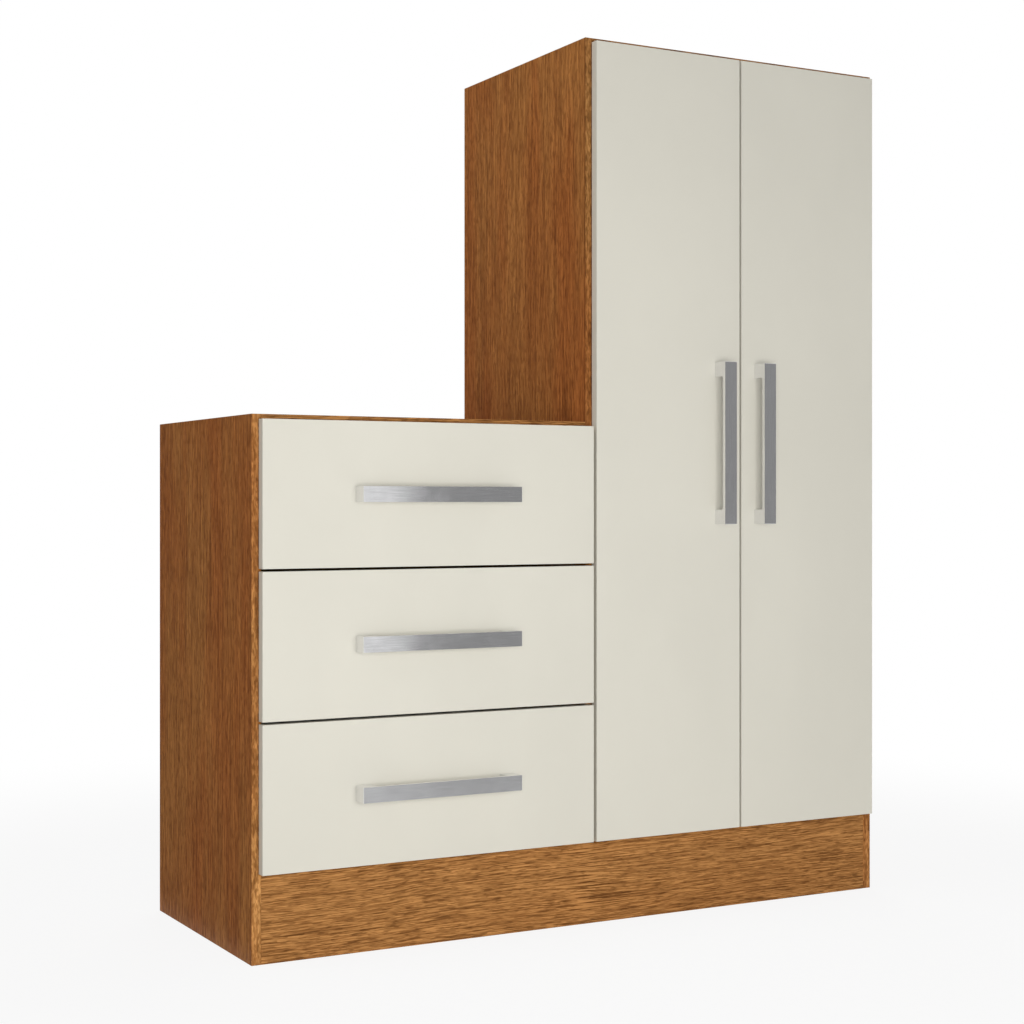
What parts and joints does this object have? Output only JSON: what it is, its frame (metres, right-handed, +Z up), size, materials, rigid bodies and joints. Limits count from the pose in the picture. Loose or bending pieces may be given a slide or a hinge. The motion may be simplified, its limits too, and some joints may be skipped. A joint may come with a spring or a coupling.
{
  "type": "chifforobe",
  "caption": "Free-standing wardrobe joined to a low chest of drawers on one plinth: wood-grain carcass, plain pale doors and drawer fronts with bar handles, hanging rod and shelf inside.",
  "frame": {"origin": "on the floor, under the middle of the piece's width and of its depth, handles included", "axes": "+Z up, +X to the right seen from the front, -Y out of the front towards the user"},
  "size_m": [0.906, 0.373, 1.12],
  "materials": {
    "oak_board": "satin wood-grain foil",
    "cream_board": "smooth satin foil",
    "white_board": "matte foil",
    "hardboard": "rough hardboard",
    "satin_chrome": "satin chrome plate",
    "nickel_steel": "nickel plated",
    "white_enamel": "powder coat"
  },
  "bodies": {
    "carcass": {"left_side_panel": "oak_board", "centre_panel": "oak_board", "right_side_panel": "oak_board", "chest_top": "oak_board", "chest_bottom": "oak_board", "wardrobe_top": "oak_board", "wardrobe_bottom": "oak_board", "wardrobe_shelf": "oak_board", "front_plinth": "oak_board", "chest_back": "hardboard", "wardrobe_back": "hardboard", "hanging_rod": "nickel_steel", "rod_socket_left": "nickel_steel", "rod_socket_right": "nickel_steel", "top_left_runner": "white_enamel", "top_right_runner": "white_enamel", "middle_left_runner": "white_enamel", "middle_right_runner": "white_enamel", "bottom_left_runner": "white_enamel", "bottom_right_runner": "white_enamel", "left_door_upper_hinge_arm": "nickel_steel", "left_door_lower_hinge_arm": "nickel_steel", "right_door_upper_hinge_arm": "nickel_steel", "right_door_lower_hinge_arm": "nickel_steel"},
    "left_door": {"left_door_panel": "cream_board", "left_door_handle": "satin_chrome", "left_door_upper_hinge_cup": "nickel_steel", "left_door_lower_hinge_cup": "nickel_steel"},
    "right_door": {"right_door_panel": "cream_board", "right_door_handle": "satin_chrome", "right_door_upper_hinge_cup": "nickel_steel", "right_door_lower_hinge_cup": "nickel_steel"},
    "left_hinge_links": {"left_door_upper_hinge_link": "nickel_steel", "left_door_lower_hinge_link": "nickel_steel"},
    "right_hinge_links": {"right_door_upper_hinge_link": "nickel_steel", "right_door_lower_hinge_link": "nickel_steel"},
    "top_drawer": {"top_drawer_front": "cream_board", "top_drawer_left_side": "white_board", "top_drawer_right_side": "white_board", "top_drawer_back": "white_board", "top_drawer_bottom": "white_board", "top_drawer_handle": "satin_chrome", "top_drawer_left_slide": "white_enamel", "top_drawer_right_slide": "white_enamel"},
    "middle_drawer": {"middle_drawer_front": "cream_board", "middle_drawer_left_side": "white_board", "middle_drawer_right_side": "white_board", "middle_drawer_back": "white_board", "middle_drawer_bottom": "white_board", "middle_drawer_handle": "satin_chrome", "middle_drawer_left_slide": "white_enamel", "middle_drawer_right_slide": "white_enamel"},
    "bottom_drawer": {"bottom_drawer_front": "cream_board", "bottom_drawer_left_side": "white_board", "bottom_drawer_right_side": "white_board", "bottom_drawer_back": "white_board", "bottom_drawer_bottom": "white_board", "bottom_drawer_handle": "satin_chrome", "bottom_drawer_left_slide": "white_enamel", "bottom_drawer_right_slide": "white_enamel"}
  },
  "joints": [
    {"name": "left_door_swing", "type": "hinge", "parent": "carcass", "child": "left_door", "pos_m": [0.0084, -0.1602, 0.6095], "axis": [0, 0, -1], "range_deg": [0, 90]},
    {"name": "right_door_swing", "type": "hinge", "parent": "carcass", "child": "right_door", "pos_m": [0.4386, -0.1602, 0.6095], "axis": [0, 0, 1], "range_deg": [0, 90]},
    {"name": "left_link_swing", "type": "hinge", "parent": "carcass", "child": "left_hinge_links", "pos_m": [0.0204, -0.1482, 0.6095], "axis": [0, 0, 1], "range_deg": [0, 16.26]},
    {"name": "right_link_swing", "type": "hinge", "parent": "carcass", "child": "right_hinge_links", "pos_m": [0.4266, -0.1482, 0.6095], "axis": [0, 0, -1], "range_deg": [0, 16.26]},
    {"name": "top_drawer_slide", "type": "slide", "parent": "carcass", "child": "top_drawer", "axis": [0, -1, 0], "range_m": [0, 0.165]},
    {"name": "middle_drawer_slide", "type": "slide", "parent": "carcass", "child": "middle_drawer", "axis": [0, -1, 0], "range_m": [0, 0.165]},
    {"name": "bottom_drawer_slide", "type": "slide", "parent": "carcass", "child": "bottom_drawer", "axis": [0, -1, 0], "range_m": [0, 0.165]}
  ],
  "couplings": [
    {"joint": "left_link_swing", "follows": "left_door_swing", "ratio": 0.18067},
    {"joint": "right_link_swing", "follows": "right_door_swing", "ratio": 0.18067}
  ]
}
